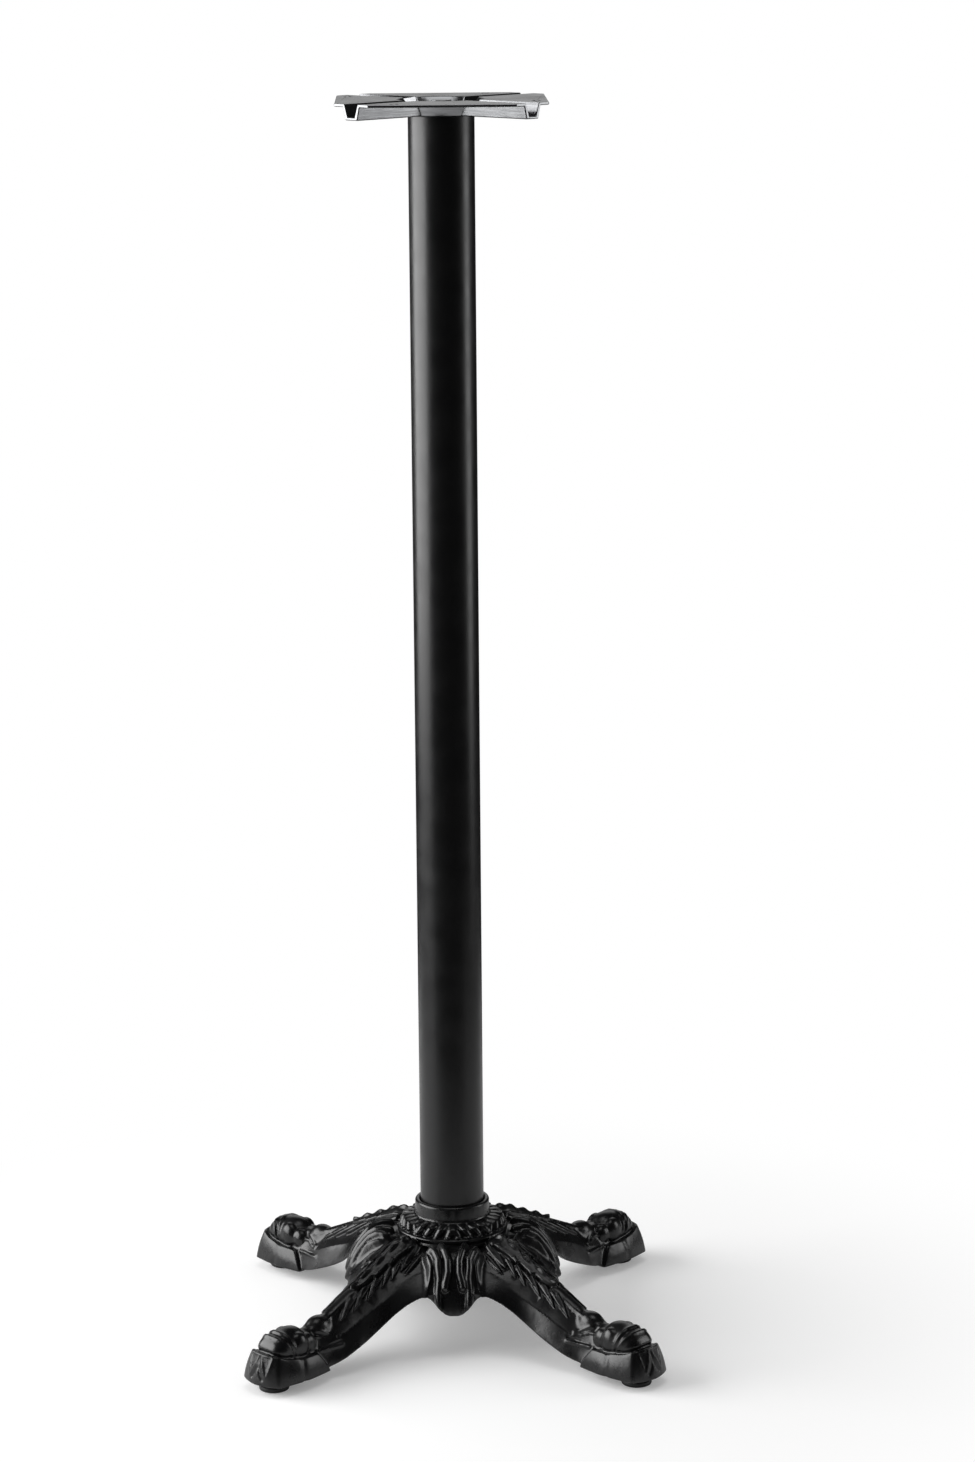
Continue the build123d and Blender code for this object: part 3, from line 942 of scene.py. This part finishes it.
class TABLEBASE_OT_plate(bpy.types.Operator):
    """Pressed top plate with its rounded bends, and the tie rod's fasteners"""

    bl_idname = "table_base.plate"
    bl_label = "Top plate"

    def execute(self, context):
        settings = context.scene.table_base_plate
        # Pressed bare sheet: grey-white metal with a soft sheen and level rolling streaks, which are
        # drawn coarser than on real sheet so that they show
        sheet = rolled_steel(
            "Bare rolled steel sheet",
            settings.steel,
            roughness=0.22,
            streak_mm=1.6,
            across=(0.06, 0.06, 1.5),
        )
        # Electroplated fasteners: bluish bright grey, with an even mottle in place of streaks
        zinc = rolled_steel(
            "Zinc plated steel",
            settings.zinc,
            roughness=0.3,
            streak_mm=0.8,
            across=(1.0, 1.0, 1.0),
        )
        pieces = [("top_plate", sheet, settings.bend)] + [(name, zinc, bend) for name, bend in FASTENERS]
        for name, material, bend in pieces:
            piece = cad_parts[name]
            piece.data.materials.clear()
            piece.data.materials.append(material)
            join = piece.modifiers.new("join", "WELD")
            join.merge_threshold = WELD * MM
            ease = piece.modifiers.new("ease", "BEVEL")
            ease.width = bend * MM
            ease.segments = 3
            ease.limit_method = "ANGLE"
            ease.angle_limit = EDGE_ANGLE
            ease.use_clamp_overlap = True
            ease.harden_normals = True
        return {"FINISHED"}


class TABLEBASE_OT_feet(bpy.types.Operator):
    """Four levelling feet: grooved pads on studs"""

    bl_idname = "table_base.feet"
    bl_label = "Levelling feet"

    def execute(self, context):
        settings = context.scene.table_base_feet
        # Moulded nylon: near-black with a dull, slightly pitted skin
        nylon = powder_coat(
            "Moulded black nylon",
            settings.nylon,
            roughness=0.5,
            peel_mm=0.9,
            peel_depth=0.04,
            wave_depth=0.02,
        )
        axis = 0.01
        r = (PAD_TOP[0] - PAD_LOW[0]) / 2 / MM
        top = PAD_TOP[2] / MM
        g = settings.groove
        lower = [(axis, 0), (r - 1.4, 0), (r - 0.4, 0.5), (r, 1.4), (r, 3.2), (r - 0.3, 4.0)]
        groove = [(r - g, 4.5), (r - g, 5.1)]
        upper = [(r - 0.5, 5.6), (r - 0.2, 6.4), (r - 0.2, 7.8), (r - 0.8, 8.7), (r - 1.8, 9.0)]
        stud = [
            (STUD_RADIUS, 9.0), (STUD_RADIUS, top - 0.8), (STUD_RADIUS - 0.8, top), (axis, top),
        ]
        profile = lower + groove + upper + stud
        for name in FEET:
            low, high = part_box(name)
            pad = turned_mesh(name + "_glide", profile, PAD_AROUND)
            pad.transform(Matrix.Translation(((low[0] + high[0]) / 2, (low[1] + high[1]) / 2, 0)))
            put(name + "_glide", pad, nylon, body=name, stands_for=(name,))
        return {"FINISHED"}


class TABLEBASE_OT_stage(bpy.types.Operator):
    """Camera, white floor, backdrop and softboxes"""

    bl_idname = "table_base.stage"
    bl_label = "Stage"

    def camera(self, scene, lens):
        """Camera at the photograph's height, a little left of the column and looking down on the base."""
        data = bpy.data.cameras.new("camera")
        data.lens = lens
        data.sensor_width = SENSOR_WIDTH
        made = bpy.data.objects.new("camera", data)
        turn = Matrix.Rotation(math.radians(CAMERA_TURN), 4, "Z")
        turn = turn @ Matrix.Rotation(math.radians(90 - CAMERA_TILT), 4, "X")
        turn = turn @ Matrix.Rotation(math.radians(CAMERA_ROLL), 4, "Z")
        made.matrix_world = Matrix.Translation(CAMERA_PLACE) @ turn
        scene.collection.objects.link(made)
        scene.camera = made

    def floor(self, scene, colour):
        """White paper floor that burns out to white and keeps soft shadows."""
        paper, tree, output, place = blank("White paper sweep")
        seen = node(tree, "ShaderNodeLightPath").outputs["Is Camera Ray"]
        far = node(tree, "ShaderNodeVectorMath", {0: place}, operation="LENGTH")
        fade = node(
            tree,
            "ShaderNodeMapRange",
            {"Value": far.outputs["Value"]},
            interpolation_type="SMOOTHSTEP",
            **{"From Min": FADE_FROM, "From Max": FADE_TO},
        )
        white = node(tree, "ShaderNodeMath", {0: fade.outputs["Result"], 1: seen}, operation="MULTIPLY")
        diffuse = node(tree, "ShaderNodeBsdfDiffuse", Color=linear(colour))
        glow = node(tree, "ShaderNodeEmission", {"Strength": seen}, Color=FLOOR_GLOW)
        near = node(tree, "ShaderNodeAddShader", {0: diffuse.outputs["BSDF"], 1: glow.outputs["Emission"]})
        bright = node(tree, "ShaderNodeEmission", Color=WHITE, Strength=1.0)
        both = node(
            tree,
            "ShaderNodeMixShader",
            {0: white.outputs[0], 1: near.outputs["Shader"], 2: bright.outputs["Emission"]},
        )
        tree.links.new(both.outputs["Shader"], output.inputs["Surface"])
        sheet = bpy.data.meshes.new("floor")
        sheet.from_pydata(FLOOR_CORNERS, [], [(0, 1, 2, 3)])
        made = bpy.data.objects.new("floor", sheet)
        made.data.materials.append(paper)
        scene.collection.objects.link(made)

    def surround(self, scene):
        """White for the camera, a white patch behind the object for its gloss, and a dim room elsewhere."""
        world = bpy.data.worlds.new("studio")
        scene.world = world
        world.use_nodes = True
        tree = world.node_tree
        tree.nodes.clear()
        rays = node(tree, "ShaderNodeLightPath").outputs
        way = node(tree, "ShaderNodeTexCoord").outputs["Generated"]
        behind = node(tree, "ShaderNodeVectorMath", {0: way}, operation="DOT_PRODUCT")
        behind.inputs[1].default_value = PATCH_WAY
        mirrored = node(tree, "ShaderNodeMapRange", {"Value": behind.outputs["Value"]}, **MIRRORED)
        shown = node(
            tree,
            "ShaderNodeMath",
            {0: rays["Is Camera Ray"], 1: rays["Is Transmission Ray"]},
            operation="MAXIMUM",
        )
        ambient = node(tree, "ShaderNodeBackground", Color=WHITE, Strength=AMBIENT)
        mirror = node(tree, "ShaderNodeBackground", {"Strength": mirrored.outputs["Result"]}, Color=WHITE)
        white = node(tree, "ShaderNodeBackground", Color=WHITE, Strength=1.0)
        first = node(
            tree,
            "ShaderNodeMixShader",
            {0: rays["Is Glossy Ray"], 1: ambient.outputs[0], 2: mirror.outputs[0]},
        )
        second = node(
            tree,
            "ShaderNodeMixShader",
            {0: shown.outputs[0], 1: first.outputs[0], 2: white.outputs[0]},
        )
        output = tree.nodes.new("ShaderNodeOutputWorld")
        tree.links.new(second.outputs[0], output.inputs["Surface"])

    def lamp(self, scene, name, place, target, size, power):
        """Softbox that faces a point."""
        data = bpy.data.lights.new(name, "AREA")
        data.shape = "RECTANGLE"
        data.size, data.size_y = size
        data.energy = power
        made = bpy.data.objects.new(name, data)
        made.location = place
        made.rotation_euler = (Vector(target) - Vector(place)).to_track_quat("-Z", "Y").to_euler()
        scene.collection.objects.link(made)

    def execute(self, context):
        scene = context.scene
        settings = scene.table_base_stage
        scene.view_settings.view_transform = "Standard"
        self.camera(scene, settings.lens)
        self.floor(scene, settings.floor)
        self.surround(scene)
        for name, place, target, size in LAMPS:
            self.lamp(scene, name, place, target, size, getattr(settings, name + "_power"))
        return {"FINISHED"}


class TABLEBASE_PT_panel(bpy.types.Panel):
    """Lists the pieces of the table base"""

    bl_idname = "TABLEBASE_PT_panel"
    bl_label = "Table base"
    bl_space_type = "VIEW_3D"
    bl_region_type = "UI"
    bl_category = "Table base"

    def draw(self, context):
        for operator, group in zip(OPERATORS, GROUPS):
            box = self.layout.box()
            box.operator(operator.bl_idname)
            settings = getattr(context.scene, group)
            for name in settings.__annotations__:
                box.prop(settings, name)


OPERATORS = (
    TABLEBASE_OT_casting,
    TABLEBASE_OT_column,
    TABLEBASE_OT_plate,
    TABLEBASE_OT_feet,
    TABLEBASE_OT_stage,
)
SETTINGS = (CastingSettings, ColumnSettings, PlateSettings, FootSettings, StageSettings)
GROUPS = (
    "table_base_casting",
    "table_base_column",
    "table_base_plate",
    "table_base_feet",
    "table_base_stage",
)


def register():
    for group, kind in zip(GROUPS, SETTINGS):
        bpy.utils.register_class(kind)
        setattr(bpy.types.Scene, group, PointerProperty(type=kind))
    for kind in OPERATORS + (TABLEBASE_PT_panel,):
        bpy.utils.register_class(kind)


def unregister():
    for kind in (TABLEBASE_PT_panel,) + OPERATORS[::-1]:
        bpy.utils.unregister_class(kind)
    for group, kind in zip(GROUPS, SETTINGS):
        delattr(bpy.types.Scene, group)
        bpy.utils.unregister_class(kind)


def main():
    """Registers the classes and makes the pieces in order."""
    register()
    bpy.ops.table_base.casting()
    bpy.ops.table_base.column()
    bpy.ops.table_base.plate()
    bpy.ops.table_base.feet()
    bpy.ops.table_base.stage()


if __name__ == "__main__":
    main()
